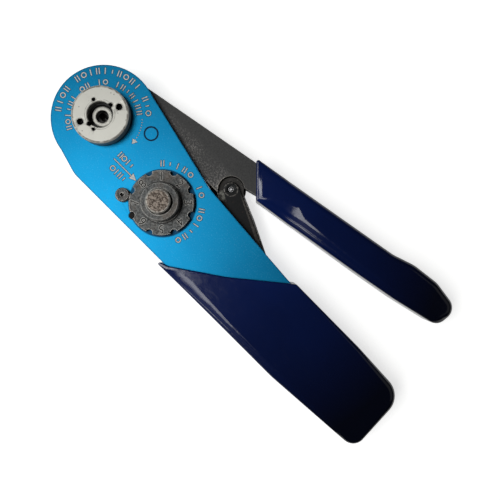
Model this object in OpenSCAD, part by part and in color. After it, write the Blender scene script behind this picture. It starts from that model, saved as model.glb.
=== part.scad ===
// Adjustable crimp tool with an eight-position depth selector.
// Lies on its back. Origin: crimp axis at the mouth of the wire guide. +X runs along the fixed handle.

/* [Plates] */
// Radius of the round head
head_r = 19.7; // [19.5:0.1:20.5]
// Thickness of each body plate
plate_t = 3; // [2.6:0.1:3.4]
// Gap between the two body plates
plate_gap = 8; // [7.8:0.1:9]
// Height of the back plate above the surface under the tool
plate_lift = 1.4; // [1:0.1:2]
// Far end of the plates inside the fixed grip
plate_end = 149.5; // [140:0.5:155]
// Slope of the two plate edges where they leave the head, in degrees
plate_taper = 13.5; // [13:0.1:14]
// Lower edge of the plates, below the crimp axis
plate_low = 22.5; // [22:0.1:23]
// Radius of the flush dowel in the head
dowel_r = 2.5; // [2:0.1:2.6]
// Radius of the posts between the plates
post_r = 2.2; // [1.8:0.1:2.4]
// Radius of the body screws' shanks
screw_r = 1.1; // [0.9:0.1:1.3]
// Radius of the body screws' flat heads
screw_head_r = 2.1; // [1.8:0.1:2.3]

/* [Fixed handle] */
// Thickness of the vinyl over the plates' faces
fixed_vinyl = 1.4; // [1:0.1:1.4]
// Width of the vinyl wall outside the plates' edges
fixed_wall = 1.5; // [1.2:0.1:2]
// Length of the vinyl past the end of the plates
fixed_cap = 2.6; // [2:0.1:4]
// Start of the solid core between the plates
core_start = 104; // [100:0.5:115]

/* [Moving handle] */
// Thickness of the lever
lever_t = 6.9; // [6.5:0.1:7.1]
// Height of the lever's upper edge above the crimp axis, where the lever starts
lever_rise = 19.3; // [19:0.1:19.6]
// Slope of the lever's upper edge, as rise over run
lever_slope = 0.18; // [0.17:0.005:0.19]
// Reach of the moving grip beyond the knuckle pin
moving_reach = 91.6; // [88:0.1:95]
// Rise of the moving grip's highest corner above the knuckle pin
moving_rise = 29.6; // [28.8:0.1:30.4]
// Thickness of the vinyl over the lever's faces
moving_vinyl = 4.3; // [3:0.1:4.4]
// Width of the vinyl wall outside the lever's edges
moving_wall = 1.9; // [1.6:0.1:2.4]
// End of the lever inside the moving grip
lever_end = 137; // [130:0.5:138]

/* [Linkage] */
// Distance from the crimp axis to the drive pin
drive_arm = 15.5; // [15.4:0.1:15.6]
// Direction of the drive pin from the crimp axis, in degrees
drive_angle = 68; // [67:0.5:69]
// Radius of the drive pin
drive_pin_r = 1.5; // [1.3:0.1:1.6]
// Clearance of the lever's eye on the drive pin, which the linkage takes up
drive_slack = 0.35; // [0.3:0.05:0.4]
// Knuckle pin's place along the tool
knuckle_x = 51.8; // [51.5:0.1:52.1]
// Knuckle pin's place across the tool
knuckle_y = 14.8; // [14.6:0.1:15]
// Radius of the link's round knuckle
knuckle_r = 4.7; // [4.5:0.1:4.8]
// Radius of the knuckle pin
knuckle_pin_r = 1; // [0.8:0.1:1.2]
// Link pin's place along the tool
link_x = 90; // [89:0.1:91]
// Link pin's place across the tool
link_y = -4; // [-4.5:0.1:-3.5]
// Radius of the link pin
link_pin_r = 2.5; // [2.2:0.1:2.8]
// Half width of the dark strap on the link
strap_half = 2.95; // [2.6:0.05:3.2]
// Thickness of the strap
strap_t = 1.7; // [1.5:0.1:1.9]
// Wire radius of the return spring at the link pin
return_wire = 0.45; // [0.35:0.05:0.5]
// Length of the return spring's leg along the link
return_leg = 5.4; // [5:0.1:6]

/* [Crimp head] */
// Radius of the wire bore along the crimp axis
wire_bore = 2.3; // [2:0.05:2.4]
// Radius of the wire guide's flange
guide_flange_r = 6.5; // [6:0.1:8]
// Radius of the wire guide's body
guide_body_r = 4.5; // [4:0.1:5]
// Radius of the block that guides the indenters
block_r = 7.3; // [7.3:0.05:7.4]
// Outer radius of the cam ring
ring_r = 13; // [12.8:0.1:13.2]
// Inward travel of each indenter over a full squeeze
indent_travel = 0.9; // [0.8:0.05:0.9]
// Width of each indenter
indenter_w = 2.4; // [2:0.1:2.6]
// Radius of the opening between the open indenters
indent_open = 1.3; // [1.25:0.05:1.5]

/* [Positioner retainer] */
// Outer radius of the retainer
retainer_r = 10.5; // [10.2:0.1:11]
// Height of the retainer above the front plate
retainer_h = 6; // [5.6:0.1:7]
// Radius of the socket that takes a positioner
socket_r = 4.7; // [4.6:0.05:4.8]
// Depth of the socket
socket_depth = 3.7; // [3.2:0.1:3.8]
// Radius of the two bayonet slots in the socket's wall
bayonet_r = 0.85; // [0.7:0.05:1]
// Distance from the crimp axis to the middle of the bayonet slots
bayonet_ring = 5.1; // [5:0.05:5.2]
// Depth of the small hole in the post beside the dial
lock_hole_depth = 1.6; // [1.2:0.1:2]
// Radius of the hub's face
hub_r = 3.7; // [3.5:0.1:3.8]
// Radius of the bore in the hub
hub_bore = 2.27; // [2:0.05:2.4]
// Inward travel of the hub
hub_travel = 1.5; // [1:0.1:1.6]
// Distance from the crimp axis to the retainer's screws
retainer_screw_ring = 7.54; // [7.3:0.1:8]
// Radius of the retainer's screw holes
retainer_screw_r = 1.2; // [1:0.05:1.3]

/* [Selector] */
// Dial axis along the tool
dial_x = 37.8; // [37:0.1:38.5]
// Dial axis across the tool
dial_y = -7; // [-7.5:0.1:-6.5]
// Radius of the dial
dial_r = 12; // [11.6:0.1:12.2]
// Thickness of the dial
dial_t = 2.5; // [2:0.1:3]
// Gap between the dial and the front plate
dial_gap = 0.5; // [0.4:0.05:0.8]
// Number of positions
positions = 8; // [4:1:8]
// Width of the notches in the dial's rim
notch_w = 2.6; // [2.2:0.1:2.8]
// Depth of the notches
notch_depth = 1.4; // [1.3:0.1:1.8]
// Radius of the dial's boss
boss_r = 7.1; // [6.6:0.1:7.6]
// Height of the dial's boss
boss_h = 5.6; // [5:0.1:6.5]
// Radius of the shaft's round end
shaft_end_r = 4.4; // [4:0.1:4.6]
// Height of the shaft's end above the boss
shaft_end_h = 3; // [2:0.1:4]
// Radius of the selector's stem
stem_r = 2.2; // [2:0.05:2.3]
// Lift of the knob out of its position
knob_lift = 2.5; // [2:0.1:2.5]
// Smallest radius of the snail cam
cam_small = 8; // [7.5:0.1:8.4]
// Largest radius of the snail cam
cam_large = 9.9; // [9.5:0.1:9.9]
// Radius of the post beside the dial
lock_post_r = 2.65; // [2.4:0.05:2.8]
// Height of that post above the front plate
lock_post_h = 2.1; // [1.6:0.1:2.6]
// Radius of the pin in the dial's notch
index_pin_r = 1.35; // [1.2:0.05:1.4]

/* [Ratchet] */
// Radius of the tooth crests about the link pin
teeth_r = 22; // [21.5:0.1:22.5]
// Depth of the teeth
tooth_depth = 0.8; // [0.6:0.05:0.9]
// Number of teeth
teeth = 5; // [4:1:5]
// Angle from one tooth to the next, in degrees
tooth_step = 1.8; // [1.6:0.1:1.8]
// Distance from the link pin to the pawl pin
pawl_ring = 29; // [28.5:0.1:29.5]
// Radius of the pawl's boss
pawl_boss_r = 2.4; // [2:0.1:2.5]
// Radius of the pawl pin
pawl_pin_r = 1.25; // [1:0.05:1.4]

/* [Fits] */
// Clearance of a pivot or a shaft in its hole
running = 0.05; // [0.03:0.01:0.08]
// Gap between faces that slide past each other
side_gap = 0.3; // [0.25:0.01:0.35]
// Gap between a guided block and its slot
guide_gap = 0.1; // [0.08:0.01:0.12]

/* [Hidden] */
$fn = 64;

// Heights of the plates' faces
back_z = plate_lift;
gap_z = back_z + plate_t;
front_z = gap_z + plate_gap;
top_z = front_z + plate_t;

// Heights of the parts between the plates
lever_z = gap_z + (plate_gap - lever_t) / 2;
lever_top = lever_z + lever_t;
lug_t = 1.6;
link_z = lever_z;
strap_z = lever_top - 0.4 - strap_t;
strap_top = strap_z + strap_t;
ring_z = gap_z + side_gap;
ring_h = plate_gap - 2 * side_gap;
tongue_t = 3.2;
mid_z = gap_z + plate_gap / 2;

// Pivots
knuckle = [knuckle_x, knuckle_y];
link_pivot = [link_x, link_y];
dial_axis = [dial_x, dial_y];
drive = drive_arm * [cos(drive_angle), sin(drive_angle)];
link_length = norm(link_pivot - knuckle);
link_angle = atan2(link_y - knuckle_y, link_x - knuckle_x);

// Colours
blue = "#1f94d2";
navy = "#171b4d";
dark_steel = "#4a4a4c";
steel = "#8d8f92";
bright_steel = "#c9cbcd";

// A point at a distance and an angle from a centre
function polar(centre, r, angle) = centre + r * [cos(angle), sin(angle)];
function unit(v) = v / norm(v);
function wrapped(angle) = angle > 180 ? angle - 360 : (angle < -180 ? angle + 360 : angle);

// Points of the arc that rounds a corner p between its neighbours a and b
function corner_arc(p, a, b, r, steps) =
    let (
        to_a = unit(a - p),
        to_b = unit(b - p),
        half = acos(max(-1, min(1, to_a * to_b))) / 2,
        back = min(r / tan(half), 0.49 * norm(a - p), 0.49 * norm(b - p)),
        real_r = back * tan(half),
        centre = p + unit(to_a + to_b) * real_r / sin(half),
        start = p + to_a * back - centre,
        end = p + to_b * back - centre,
        angle = atan2(start.y, start.x),
        sweep = wrapped(atan2(end.y, end.x) - angle)
    )
    [for (i = [0:steps]) polar(centre, real_r, angle + sweep * i / steps)];

// An outline from corners given as [x, y, radius]. A corner of radius 0 stays sharp.
function rounded(corners, steps = 8) =
    let (n = len(corners))
    [
        for (i = [0:n - 1])
            let (
                p = [corners[i][0], corners[i][1]],
                a = [corners[(i + n - 1) % n][0], corners[(i + n - 1) % n][1]],
                b = [corners[(i + 1) % n][0], corners[(i + 1) % n][1]]
            )
            for (q = corners[i][2] > 0 ? corner_arc(p, a, b, corners[i][2], steps) : [p]) q
    ];

// The fourth value of each corner, repeated for every point that rounded() makes of it
function edge_radii(corners, steps = 8) =
    [for (c = corners) for (i = [0:(c[2] > 0 ? steps : 0)]) c[3]];

// A dipped vinyl grip: an outline listed anticlockwise, with its own edge rounding at each corner
module dipped_grip(corners, low, high) {
    outline = rounded(corners);
    radii = edge_radii(corners);
    n = len(outline);
    steps = 5;
    inward = [
        for (i = [0:n - 1])
            let (along = unit(outline[(i + 1) % n] - outline[(i + n - 1) % n]))
            [-along.y, along.x]
    ];
    quarter = [for (k = [0:steps]) 90 * k / steps];
    rings = concat(
        [for (a = quarter) [for (i = [0:n - 1])
            let (p = outline[i] + inward[i] * radii[i] * (1 - sin(a)))
            [p.x, p.y, low + radii[i] * (1 - cos(a))]]],
        [for (a = quarter) [for (i = [0:n - 1])
            let (p = outline[i] + inward[i] * radii[i] * (1 - cos(a)))
            [p.x, p.y, high - radii[i] * (1 - sin(a))]]]
    );
    points = [for (ring = rings) for (p = ring) p];
    count = len(rings);
    sides = [
        for (k = [0:count - 2])
            for (i = [0:n - 1])
                let (j = (i + 1) % n, a = k * n + i, b = k * n + j, c = b + n, d = a + n)
                for (face = [[a, d, c], [a, c, b]]) face
    ];
    bottom = [for (i = [0:n - 1]) i];
    top = [for (i = [n - 1:-1:0]) (count - 1) * n + i];
    polyhedron(points, concat(sides, [bottom, top]), convexity = 6);
}

// A coil of round wire about the Z axis
module coil(r, wire, low, high, turns) {
    sides = 6;
    steps = round(turns * 20);
    points = [
        for (i = [0:steps])
            let (a = 360 * turns * i / steps, z = low + wire + (high - low - 2 * wire) * i / steps)
            for (s = [0:sides - 1])
                let (out = r + wire * cos(360 * s / sides))
                [out * cos(a), out * sin(a), z + wire * sin(360 * s / sides)]
    ];
    walls = [
        for (i = [0:steps - 1])
            for (s = [0:sides - 1])
                let (t = (s + 1) % sides, a = i * sides + s, b = i * sides + t, c = b + sides, d = a + sides)
                for (face = [[a, b, c], [a, c, d]]) face
    ];
    first = [for (s = [sides - 1:-1:0]) s];
    last = [for (s = [0:sides - 1]) steps * sides + s];
    polyhedron(points, concat(walls, [first, last]), convexity = 8);
}

// A cylinder between two heights
module post(r, low, high, place = [0, 0]) {
    translate([place.x, place.y, low]) cylinder(r = r, h = high - low);
}

// A turned part from its half section
module turned(profile) {
    rotate_extrude($fn = 96) polygon(profile);
}

// Anything drawn with its X axis from the knuckle pin to the link pin
module along_link() {
    translate(knuckle) rotate(link_angle) children();
}

// Outline of the body plates. Both long edges start just inside the head's circle.
edge_start = polar([0, 0], head_r - 0.15, 90 - plate_taper);
plate_corners = [
    [edge_start.x, edge_start.y, 0],
    [-edge_start.x, -edge_start.y, 0],
    [7, -plate_low + 0.1, 12],
    [112, -plate_low, 60],
    [plate_end, -plate_low + 2.2, 6],
    [plate_end, 5, 7],
    [90.7, 5.8, 0],
    [46.4, 9.15, 20]
];
module plate_outline() {
    circle(r = head_r, $fn = 128);
    polygon(rounded(plate_corners));
}
module plate(z) {
    translate([0, 0, z]) linear_extrude(plate_t) plate_outline();
}

// Places of the pins and posts
dowel_place = [16.6, 8.3];
post_ring = (ring_r + head_r) / 2;
post_places = [
    polar([0, 0], post_ring, 200),
    polar([0, 0], post_ring, 140),
    polar([0, 0], post_ring, 285),
    [22, -16.5],
    [61.9, -19.6]
];
lock_post_place = polar(dial_axis, dial_r + lock_post_r + 0.2, 213.3);
index_angle = 247.5;
index_place = polar(dial_axis, dial_r, index_angle);
retainer_screw_angles = [65.5, 245.5];
pawl_angle = 197.6;
pawl_place = polar(link_pivot, pawl_ring, pawl_angle);
pawl_pin_sink = 2;
bushing_r = stem_r + 2.2;
spring_well_r = hub_r + 2;
lock_stem_r = lock_post_r - 1.05;
retainer_shank_r = retainer_screw_r - 0.4;

// Front plate, seen in the photograph
module front_plate() {
    color(blue) difference() {
        plate(front_z);
        post(spring_well_r, front_z - 1, top_z + 1);
        post(dowel_r, front_z - 1, top_z + 1, dowel_place);
        post(link_pin_r, front_z - 1, top_z + 1, link_pivot);
        post(bushing_r, front_z - 1, top_z + 1, dial_axis);
        post(lock_stem_r, front_z - 1, top_z + 1, lock_post_place);
        post(index_pin_r, front_z - 1, top_z + 1, index_place);
        post(pawl_pin_r, front_z - 1, front_z + pawl_pin_sink, pawl_place);
        for (angle = retainer_screw_angles)
            post(retainer_shank_r, front_z - 1, top_z + 1, polar([0, 0], retainer_screw_ring, angle));
    }
}

// Back plate, with the wire guide's seat and the countersinks of the body screws
countersink = screw_head_r - screw_r;
module back_plate() {
    color(blue) difference() {
        plate(back_z);
        post(guide_body_r, back_z - 1, gap_z + 1);
        post(dowel_r, back_z - 1, gap_z + 1, dowel_place);
        post(link_pin_r, back_z - 1, gap_z + 1, link_pivot);
        post(stem_r + running, back_z - 1, gap_z + 1, dial_axis);
        post(pawl_pin_r, gap_z - pawl_pin_sink, gap_z + 1, pawl_place);
        for (i = [0:3])
            translate([post_places[i].x, post_places[i].y, back_z]) {
                translate([0, 0, -1]) cylinder(r = screw_r, h = plate_t + 2);
                cylinder(r1 = screw_head_r, r2 = screw_r, h = countersink);
            }
    }
}

// Filler between the plates inside the fixed grip
module handle_core() {
    color(steel) translate([0, 0, gap_z]) linear_extrude(plate_gap) intersection() {
        plate_outline();
        translate([core_start, -40]) square([plate_end, 80]);
    }
}

// Vinyl dipped over the rear of both plates. Its front edge runs at a slant across them.
grip_low = -plate_low - fixed_wall;
fixed_grip_corners = [
    [50.2, grip_low, 0.5, 0.7],
    [112, grip_low, 60, 3.8],
    [143, grip_low + 2.2, 30, 3.6],
    [plate_end + fixed_cap + 0.2, grip_low + 3, 6, 3],
    [plate_end + fixed_cap - 0.6, 5 + 0.5, 8, 2.4],
    [127, 5 + fixed_wall + 0.2, 60, 1.8],
    [94.2, 5.6 + fixed_wall - 0.2, 0.8, 0.8],
    [92.2, 5.4, 0.8, 0.7],
    [73.8, -9.6, 60, 0.7],
    [55.6, -22, 8, 0.7]
];
module fixed_grip() {
    color(navy) difference() {
        dipped_grip(fixed_grip_corners, back_z - fixed_vinyl, top_z + fixed_vinyl);
        translate([0, 0, back_z]) linear_extrude(top_z - back_z) plate_outline();
    }
}

// Steel block with four radial slots, and the ring spring that pushes the indenters outward
slot_low = mid_z - 2.6;
slot_high = mid_z + 2.7;
indenter_low = slot_low + guide_gap;
indenter_high = slot_high - guide_gap;
spring_groove_r = 5.75;
spring_wire = 0.25;
groove_z = indenter_high - 0.9;
module indenter_block() {
    color(steel) difference() {
        post(block_r, gap_z, front_z);
        post(wire_bore + 0.3, gap_z - 1, front_z + 1);
        for (angle = [0:90:270])
            rotate(angle) translate([0, -indenter_w / 2 - guide_gap, slot_low])
                cube([block_r + 1, indenter_w + 2 * guide_gap, slot_high - slot_low]);
        difference() {
            post(spring_groove_r + spring_wire + guide_gap, groove_z, front_z + 1);
            post(spring_groove_r - spring_wire - guide_gap, groove_z - 1, front_z + 2);
        }
    }
}
module indenter_spring() {
    color(bright_steel) translate([0, 0, groove_z + spring_wire + 0.1])
        rotate_extrude($fn = 96) translate([spring_groove_r, 0]) circle(r = spring_wire, $fn = 16);
}

// Indenter: a guided block with a narrow tip, and a round outer end on the cam ring
indenter_outer = block_r + 1.3;
module indenter(angle) {
    end_r = indenter_w / 2;
    tip_half = 0.3;
    shoulder = indent_open + 1.3;
    color(bright_steel) rotate(angle) difference() {
        intersection() {
            translate([0, 0, indenter_low]) linear_extrude(indenter_high - indenter_low) {
                polygon([
                    [indent_open, -tip_half], [shoulder, -end_r], [indenter_outer - end_r, -end_r],
                    [indenter_outer - end_r, end_r], [shoulder, end_r], [indent_open, tip_half]
                ]);
                translate([indenter_outer - end_r, 0]) circle(r = end_r);
            }
            rotate([90, 0, 0]) translate([0, 0, -end_r - 1]) linear_extrude(2 * end_r + 2) polygon([
                [indent_open - 0.1, mid_z - 1], [shoulder, indenter_low - 0.1],
                [indenter_outer + 1, indenter_low - 0.1],
                [indenter_outer + 1, indenter_high + 0.1], [shoulder, indenter_high + 0.1],
                [indent_open - 0.1, mid_z + 1]
            ]);
        }
        translate([spring_groove_r - spring_wire - guide_gap, -end_r - 1, groove_z])
            cube([2 * spring_wire + 2 * guide_gap + indent_travel, 2 * end_r + 2, 3]);
    }
}

// Cam ring: four ramps push the indenters in as it turns, and its forked arm takes the lever's eye
ring_turn = 8.9;
ramp = indent_travel / ring_turn;
ring_bore_large = indenter_outer + 1;
ring_bore_small = block_r + running;
ramp_gap = 0.36;
function cam_radius(from_indenter) =
    from_indenter < -20
        ? ring_bore_large
        : max(ring_bore_small, min(ring_bore_large, indenter_outer + ramp_gap + ramp * from_indenter));
cam_ring_bore = [
    for (angle = [0:2:358])
        let (from_indenter = (angle + 45) % 90 - 45)
        polar([0, 0], cam_radius(from_indenter), angle)
];
arm_r = 3.9;
fork_root = drive_arm - 3.5;
module cam_ring() {
    color(steel) difference() {
        translate([0, 0, ring_z]) linear_extrude(ring_h) difference() {
            union() {
                circle(r = ring_r, $fn = 128);
                translate(drive) circle(r = arm_r);
            }
            polygon(cam_ring_bore);
        }
        rotate(drive_angle) difference() {
            translate([7, -11, mid_z - tongue_t / 2 - side_gap]) cube([head_r, 22, tongue_t + 2 * side_gap]);
            post(fork_root, gap_z, front_z);
        }
        post(drive_pin_r, ring_z - 1, front_z, drive);
    }
}
module drive_pin() {
    color(bright_steel) post(drive_pin_r, ring_z, ring_z + ring_h, drive);
}

// Flanged bushing in the back plate that leads the wire to the indenters
module wire_guide() {
    edge = 0.3;
    color(steel) turned([
        [wire_bore, 0], [wire_bore, gap_z], [guide_body_r, gap_z], [guide_body_r, back_z],
        [guide_flange_r, back_z], [guide_flange_r, edge], [guide_flange_r - edge, 0]
    ]);
}

// Retainer on the front plate that holds a positioner
retainer_top = top_z + retainer_h;
socket_z = retainer_top - socket_depth;
hub_flange_t = 1;
hub_flange_r = spring_well_r - 0.4;
hub_flange_z = socket_z - 1.1 - side_gap - hub_flange_t;
ring_floor_z = hub_flange_z + hub_flange_t + side_gap;
hub_room_r = socket_r - 0.25;
module positioner_ring() {
    bevel = 0.4;
    color(bright_steel) difference() {
        turned([
            [hub_room_r, ring_floor_z], [hub_room_r, socket_z], [socket_r, socket_z],
            [socket_r, retainer_top - 0.2],
            [socket_r + 0.2, retainer_top], [retainer_r - bevel, retainer_top],
            [retainer_r, retainer_top - bevel],
            [retainer_r, top_z], [spring_well_r, top_z], [spring_well_r, ring_floor_z]
        ]);
        for (angle = [86, 266])
            post(bayonet_r, ring_floor_z - 1, retainer_top + 1, polar([0, 0], bayonet_ring, angle));
        for (angle = [157.5, -67.5])
            post(0.67, retainer_top - 2.2, retainer_top + 1, polar([0, 0], hub_r + 2.1, angle));
        for (angle = retainer_screw_angles) {
            post(retainer_screw_r, top_z + 1.4, retainer_top + 1, polar([0, 0], retainer_screw_ring, angle));
            post(retainer_shank_r, top_z - 1, retainer_top, polar([0, 0], retainer_screw_ring, angle));
        }
    }
}
module retainer_screw(angle) {
    head = 1.5;
    color(dark_steel) translate(polar([0, 0], retainer_screw_ring, angle)) difference() {
        union() {
            post(retainer_screw_r - guide_gap, top_z + 1.4, top_z + 1.4 + head);
            post(retainer_shank_r, front_z, top_z + 1.5);
        }
        translate([0, 0, top_z + 1.4 + head - 0.8]) cylinder(r = 0.6, h = 1, $fn = 6);
    }
}

// Spring-loaded hub in the retainer
spring_low = front_z + 0.05;
module thrust_hub() {
    hub_top = socket_z - 0.1;
    hub_low = front_z + hub_travel + 0.1;
    color(bright_steel) turned([
        [hub_bore, hub_low], [hub_bore, hub_top - 0.2], [hub_bore + 0.2, hub_top], [hub_r, hub_top],
        [hub_r, hub_flange_z + hub_flange_t], [hub_flange_r, hub_flange_z + hub_flange_t],
        [hub_flange_r, hub_flange_z], [hub_r, hub_flange_z], [hub_r, hub_low]
    ]);
}
module thrust_spring() {
    wire = 0.4;
    color(steel) coil(hub_r + 0.2 + wire, wire, spring_low, hub_flange_z - 0.05, 2.5);
}

// Fixed pins, posts and screws of the body
module head_dowel() {
    color(blue) post(dowel_r, back_z, top_z, dowel_place);
}
leaf_t = 0.3;
leaf_length = 9;
module leaf() {
    heel = 2.65;
    translate(pawl_place) rotate(pawl_angle) translate([heel, -leaf_length + 1.5, strap_z])
        cube([leaf_t, leaf_length, strap_t]);
}
module spacer_post(i) {
    color(steel) difference() {
        post(post_r, gap_z, front_z, post_places[i]);
        if (i < 4)
            post(screw_r, gap_z - 1, gap_z + 4, post_places[i]);
        else
            leaf();
    }
}
module body_screw(i) {
    slot_w = 0.7;
    color(dark_steel) translate([post_places[i].x, post_places[i].y, back_z]) difference() {
        union() {
            cylinder(r1 = screw_head_r, r2 = screw_r, h = countersink);
            cylinder(r = screw_r, h = plate_t + 4);
        }
        translate([-slot_w / 2, -screw_head_r - 1, -1]) cube([slot_w, 2 * screw_head_r + 2, 1.5]);
    }
}
module lock_post() {
    hole_r = 0.75;
    color(steel) translate(lock_post_place) turned([
        [0, front_z], [lock_stem_r, front_z], [lock_stem_r, top_z], [lock_post_r, top_z],
        [lock_post_r, top_z + lock_post_h - 0.3], [lock_post_r - 0.3, top_z + lock_post_h],
        [hole_r, top_z + lock_post_h], [hole_r, top_z + lock_post_h - lock_hole_depth],
        [0, top_z + lock_post_h - lock_hole_depth]
    ]);
}
module index_pin() {
    color(steel) post(index_pin_r, front_z, top_z + dial_gap - 0.2, index_place);
}

// Selector: the knob lifts against its spring, turns, and carries the snail cam round with its flats
dial_z = top_z + dial_gap;
boss_z = dial_z + dial_t;
boss_top = boss_z + boss_h;
flat_half = stem_r - 0.5;
cam_t = 2.3;
cam_z = front_z - side_gap - cam_t;
clip_t = 0.6;
spring_solid = 1.9;
clip_z = cam_z - knob_lift - spring_solid - clip_t;
clip_groove_r = stem_r - 0.7;
shaft_seat_z = boss_z + 0.6;
module selector_bushing() {
    color(steel) difference() {
        post(bushing_r, front_z, top_z, dial_axis);
        post(stem_r + running, front_z - 1, top_z + 1, dial_axis);
    }
}
module selector_dial() {
    color(dark_steel) translate(dial_axis) difference() {
        turned([
            [stem_r, dial_z], [dial_r - 0.2, dial_z], [dial_r, dial_z + 0.2], [dial_r, boss_z - 0.2],
            [dial_r - 0.2, boss_z], [boss_r, boss_z], [boss_r, boss_top - 0.4], [boss_r - 0.4, boss_top],
            [shaft_end_r + 0.5, boss_top], [shaft_end_r + 0.5, boss_top - 1.5], [shaft_end_r, boss_top - 1.5],
            [shaft_end_r, shaft_seat_z], [stem_r, shaft_seat_z]
        ]);
        for (i = [0:positions - 1])
            rotate(index_angle + 360 * i / positions) {
                post(notch_w / 2, dial_z - 1, boss_z + 1, [dial_r - notch_depth + notch_w / 2, 0]);
                translate([dial_r - notch_depth + notch_w / 2, -notch_w / 2, dial_z - 1])
                    cube([notch_w, notch_w, dial_t + 2]);
            }
    }
}
module stem_section() {
    intersection() {
        circle(r = stem_r);
        square([2 * flat_half, 3 * stem_r], center = true);
    }
}
module selector_shaft() {
    color(steel) translate(dial_axis) difference() {
        union() {
            turned([
                [0, shaft_seat_z], [shaft_end_r, shaft_seat_z], [shaft_end_r, boss_top + shaft_end_h - 0.4],
                [shaft_end_r - 0.4, boss_top + shaft_end_h], [0, boss_top + shaft_end_h]
            ]);
            post(stem_r, front_z, shaft_seat_z + 0.1);
            translate([0, 0, clip_z + clip_t]) linear_extrude(front_z - clip_z - clip_t) stem_section();
            post(clip_groove_r, clip_z - 0.1, clip_z + clip_t + 0.1);
            post(stem_r, back_z + 0.2, clip_z);
        }
    }
}
module shaft_clip() {
    color(dark_steel) translate([dial_x, dial_y, clip_z]) linear_extrude(clip_t) difference() {
        circle(r = stem_r + 1.2);
        circle(r = clip_groove_r);
        translate([0, -0.8]) square([stem_r + 2, 1.6]);
    }
}
module selector_spring() {
    wire = 0.22;
    color(steel) translate(dial_axis) coil(stem_r + wire + 0.4, wire, clip_z + clip_t, cam_z, 3);
}
module selector_cam() {
    facing = 110;
    step = 360 / positions;
    outline = [
        for (i = [0:positions - 1])
            let (r = cam_small + (cam_large - cam_small) * i / (positions - 1))
            for (a = [-0.5:0.25:0.5]) polar([0, 0], r, facing + step * (i + a * 0.98))
    ];
    color(steel) translate([dial_x, dial_y, cam_z]) linear_extrude(cam_t) difference() {
        polygon(outline);
        intersection() {
            circle(r = stem_r + running);
            square([2 * (flat_half + running), 4 * stem_r], center = true);
        }
    }
}

// Toggle link: a bar with a round knuckle, and a dark strap on it that carries the ratchet teeth
lug_r = knuckle_r + 0.9;
lug_top = lever_z + lug_t;
link_boss_r = link_pin_r + 2.7;
bar_outer = knuckle_r - 0.1;
return_coil_r = link_pin_r + return_wire + 0.6;
spring_room_r = return_coil_r + return_wire + 3.2;
spring_room_top = gap_z + 2.9;
module heel() {
    difference() {
        polygon(rounded([
            [0.1, -2, 0], [0.1, -6.1, 0.6], [1.8, -6.1, 0.8], [6.2, -4.9, 0.5],
            [7.6, -strap_half + 0.2, 0], [2, -2, 0]
        ]));
        translate([4.3, -5.2]) circle(r = 0.8);
    }
}
module toggle_link() {
    color(steel) difference() {
        union() {
            translate([0, 0, link_z]) linear_extrude(strap_z - link_z) along_link() polygon([
                [0, -strap_half], [0, knuckle_r - 0.9], [14, bar_outer],
                [link_length, bar_outer], [link_length, -4.2]
            ]);
            post(knuckle_r, lug_top + side_gap, strap_z, knuckle);
            post(spring_room_r + 1, spring_room_top, strap_z, link_pivot);
            translate([0, 0, link_z]) linear_extrude(strap_z - link_z) along_link() heel();
        }
        post(lug_r + 0.4, link_z - 1, lug_top + side_gap, knuckle);
        post(spring_room_r, link_z - 1, spring_room_top, link_pivot);
        post(knuckle_pin_r + running, link_z - 1, strap_top + 1, knuckle);
        post(link_pin_r + running, link_z - 1, strap_top + 1, link_pivot);
        for (i = [0, 1]) along_link() post(rivet_r, link_z - 1, strap_z + 1, rivet_places[i]);
    }
}
rivet_r = 1.2;
rivet_places = [[link_length - 16.5, 0], [link_length - 9.5, 0]];
teeth_end = pawl_angle - 0.8;
teeth_start = teeth_end - teeth * tooth_step;
root_r = teeth_r - tooth_depth;
module ratchet_sector() {
    tooth_points = [
        for (i = [0:teeth - 1])
            let (a = teeth_start + i * tooth_step)
            for (p = [[root_r, a], [teeth_r, a + tooth_step * 0.5], [root_r, a + tooth_step * 0.98]])
                polar(link_pivot, p[0], p[1])
    ];
    color(dark_steel) difference() {
        union() {
            post(strap_half, strap_z, strap_top, knuckle);
            translate([0, 0, strap_z]) linear_extrude(strap_t) along_link() polygon([
                [0, -strap_half], [0, strap_half], [link_length, link_boss_r - 0.6],
                [link_length, 0.6 - link_boss_r]
            ]);
            post(link_boss_r, strap_z, strap_top, link_pivot);
            translate([0, 0, strap_z]) linear_extrude(strap_t) polygon(concat(
                [link_pivot, polar(link_pivot, root_r - 0.6, teeth_start - 6)],
                tooth_points,
                [polar(link_pivot, root_r - 0.6, teeth_end + 0.3)]
            ));
        }
        post(knuckle_pin_r + running, strap_z - 1, strap_top + 1, knuckle);
        post(link_pin_r + running, strap_z - 1, strap_top + 1, link_pivot);
        along_link() for (p = rivet_places) post(rivet_r, strap_z - 1, strap_top + 1, p);
    }
}
module sector_rivet(i) {
    color(steel) along_link() post(rivet_r, link_z, strap_top, rivet_places[i]);
}
module knuckle_pin() {
    color(bright_steel) post(knuckle_pin_r, lever_z, strap_top + 0.2, knuckle);
}
module link_pin() {
    color(steel) post(link_pin_r, back_z, top_z, link_pivot);
}
module return_spring() {
    low = gap_z + 0.2;
    high = spring_room_top - 0.2;
    color(steel) translate(link_pivot) {
        coil(return_coil_r, return_wire, low, high, 2);
        translate([0, -return_coil_r, low + return_wire]) rotate([0, 90, 0])
            cylinder(r = return_wire, h = core_start - link_x - 0.3, $fn = 16);
        rotate(180 + link_angle) translate([0, -return_coil_r, high - return_wire]) rotate([0, 90, 0])
            cylinder(r = return_wire, h = return_leg, $fn = 16);
    }
}

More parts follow.
